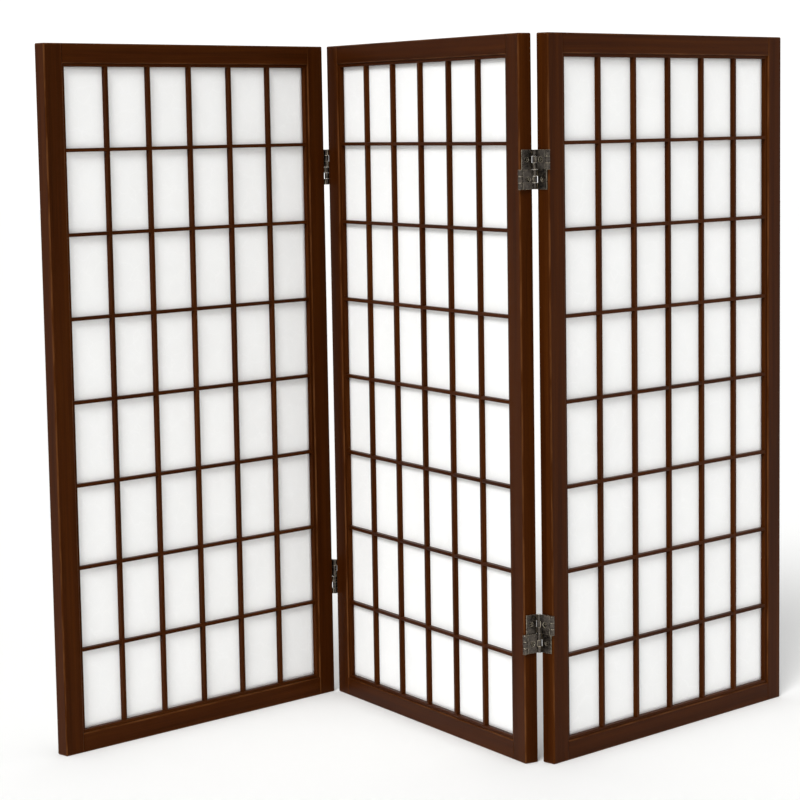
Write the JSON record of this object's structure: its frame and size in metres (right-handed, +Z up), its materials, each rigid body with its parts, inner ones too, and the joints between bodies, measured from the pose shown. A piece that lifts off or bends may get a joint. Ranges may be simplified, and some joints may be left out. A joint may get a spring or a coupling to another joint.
{
  "type": "folding room divider screen",
  "caption": "Folding wooden screen with a paper-backed lattice in each panel, hinged to fold both ways so that it stands in a zigzag.",
  "frame": {"origin": "on the floor under the middle of the middle panel", "axes": "+Z up, +X along the zigzag to the right as seen from the lattice side, -Y towards the lattice side"},
  "size_m": [0.9232, 0.3948, 0.9],
  "materials": {
    "frame_wood": "satin dark walnut stain",
    "lattice_wood": "satin dark walnut stain",
    "dowel_wood": "bare",
    "paper": "matt white rice paper",
    "hinge_metal": "antique bronze",
    "pin_metal": "blackened steel"
  },
  "bodies": {
    "middle_panel": {"middle_panel_left_stile": "frame_wood", "middle_panel_right_stile": "frame_wood", "middle_panel_top_rail": "frame_wood", "middle_panel_bottom_rail": "frame_wood", "middle_panel_dowels": "dowel_wood", "middle_panel_lattice_frame": "lattice_wood", "middle_panel_upright_bars": "lattice_wood", "middle_panel_cross_bars": "lattice_wood", "middle_panel_paper": "paper", "left_top_hinge_inner_leaf": "hinge_metal", "left_top_hinge_inner_screws": "pin_metal", "left_bottom_hinge_inner_leaf": "hinge_metal", "left_bottom_hinge_inner_screws": "pin_metal", "right_top_hinge_inner_leaf": "hinge_metal", "right_top_hinge_inner_screws": "pin_metal", "right_bottom_hinge_inner_leaf": "hinge_metal", "right_bottom_hinge_inner_screws": "pin_metal"},
    "left_panel": {"left_panel_left_stile": "frame_wood", "left_panel_right_stile": "frame_wood", "left_panel_top_rail": "frame_wood", "left_panel_bottom_rail": "frame_wood", "left_panel_dowels": "dowel_wood", "left_panel_lattice_frame": "lattice_wood", "left_panel_upright_bars": "lattice_wood", "left_panel_cross_bars": "lattice_wood", "left_panel_paper": "paper", "left_top_hinge_outer_leaf": "hinge_metal", "left_top_hinge_outer_screws": "pin_metal", "left_bottom_hinge_outer_leaf": "hinge_metal", "left_bottom_hinge_outer_screws": "pin_metal"},
    "left_upper_links": {"left_top_hinge_upper_link": "hinge_metal", "left_top_hinge_upper_link_pins": "pin_metal", "left_bottom_hinge_upper_link": "hinge_metal", "left_bottom_hinge_upper_link_pins": "pin_metal"},
    "left_lower_links": {"left_top_hinge_lower_link": "hinge_metal", "left_top_hinge_lower_link_pins": "pin_metal", "left_bottom_hinge_lower_link": "hinge_metal", "left_bottom_hinge_lower_link_pins": "pin_metal"},
    "right_panel": {"right_panel_left_stile": "frame_wood", "right_panel_right_stile": "frame_wood", "right_panel_top_rail": "frame_wood", "right_panel_bottom_rail": "frame_wood", "right_panel_dowels": "dowel_wood", "right_panel_lattice_frame": "lattice_wood", "right_panel_upright_bars": "lattice_wood", "right_panel_cross_bars": "lattice_wood", "right_panel_paper": "paper", "right_top_hinge_outer_leaf": "hinge_metal", "right_top_hinge_outer_screws": "pin_metal", "right_bottom_hinge_outer_leaf": "hinge_metal", "right_bottom_hinge_outer_screws": "pin_metal"},
    "right_upper_links": {"right_top_hinge_upper_link": "hinge_metal", "right_top_hinge_upper_link_pins": "pin_metal", "right_bottom_hinge_upper_link": "hinge_metal", "right_bottom_hinge_upper_link_pins": "pin_metal"},
    "right_lower_links": {"right_top_hinge_lower_link": "hinge_metal", "right_top_hinge_lower_link_pins": "pin_metal", "right_bottom_hinge_lower_link": "hinge_metal", "right_bottom_hinge_lower_link_pins": "pin_metal"}
  },
  "joints": [
    {"name": "right_fold_back", "type": "hinge", "parent": "middle_panel", "child": "right_upper_links", "pos_m": [0.15511, -0.18148, 0], "axis": [0, 0, -1], "range_deg": [-76, 104]},
    {"name": "right_fold_forward", "type": "hinge", "parent": "right_upper_links", "child": "right_panel", "pos_m": [0.17166, -0.1944, 0], "axis": [0, 0, -1], "range_deg": [0, 90]},
    {"name": "right_lower_link_turn", "type": "hinge", "parent": "middle_panel", "child": "right_lower_links", "pos_m": [0.13856, -0.1944, 0], "axis": [0, 0, -1], "range_deg": [0, 90]},
    {"name": "left_fold_forward", "type": "hinge", "parent": "middle_panel", "child": "left_upper_links", "pos_m": [-0.15511, 0.18148, 0], "axis": [0, 0, -1], "range_deg": [-76, 104]},
    {"name": "left_fold_back", "type": "hinge", "parent": "left_upper_links", "child": "left_panel", "pos_m": [-0.17166, 0.1944, 0], "axis": [0, 0, -1], "range_deg": [0, 90]},
    {"name": "left_lower_link_turn", "type": "hinge", "parent": "middle_panel", "child": "left_lower_links", "pos_m": [-0.13856, 0.1944, 0], "axis": [0, 0, -1], "range_deg": [0, 90]}
  ],
  "couplings": [
    {"joint": "right_lower_link_turn", "follows": "right_fold_forward", "ratio": 1},
    {"joint": "left_lower_link_turn", "follows": "left_fold_back", "ratio": 1}
  ]
}
